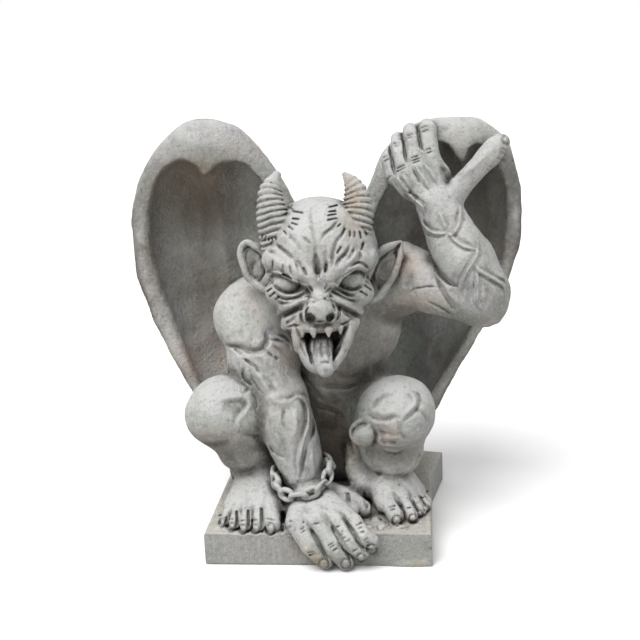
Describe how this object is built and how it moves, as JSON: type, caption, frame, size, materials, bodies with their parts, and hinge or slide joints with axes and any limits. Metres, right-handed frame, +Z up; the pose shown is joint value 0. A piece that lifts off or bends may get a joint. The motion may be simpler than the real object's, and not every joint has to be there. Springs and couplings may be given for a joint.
{
  "type": "carved stone gargoyle",
  "caption": "Crouching stone gargoyle with upright wings, curled horns, a roaring mouth, one raised arm and one hand gripping the edge of its square plinth.",
  "frame": {"origin": "middle of the plinth's squared underside, on the ground", "axes": "+Z up, -Y out of the front that the face and the gripping hand look over, +X towards the raised arm"},
  "size_m": [1.0644, 0.6726, 1.0996],
  "materials": {
    "pale_stone": "weathered carved stone with a fine granular face"
  },
  "bodies": {
    "root": {"gargoyle": "pale_stone"}
  },
  "joints": []
}
